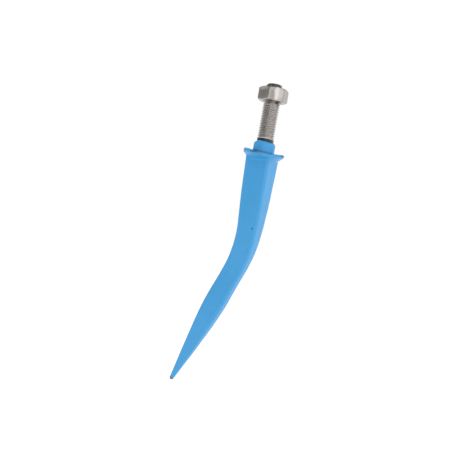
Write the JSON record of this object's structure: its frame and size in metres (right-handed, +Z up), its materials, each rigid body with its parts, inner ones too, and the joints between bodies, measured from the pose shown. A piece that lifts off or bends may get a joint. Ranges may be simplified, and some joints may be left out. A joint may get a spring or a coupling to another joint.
{
  "type": "harrow tine",
  "caption": "Forged harrow tine: threaded stud with a hexagon nut, round neck and flange, square tapering body, a gentle bend and a long flat-sided point.",
  "frame": {"origin": "centre of the flange's top face, where the round neck leaves it and the tine seats under the harrow's bar", "axes": "+Z up the stud's axis, away from the soil; XZ is the plane of the bend and of symmetry; the point sweeps towards -X, the way the harrow travels"},
  "size_m": [0.0688, 0.034, 0.2594],
  "materials": {
    "blue_enamel": "sprayed enamel, satin",
    "bright_steel": "machined, dull"
  },
  "bodies": {
    "tine": {"tine": "blue_enamel"},
    "nut": {"hex_nut": "bright_steel"}
  },
  "joints": [
    {"name": "nut_travel", "type": "slide", "parent": "tine", "child": "nut", "axis": [0, 0, 1], "range_m": [-0.028, 0.012]}
  ]
}
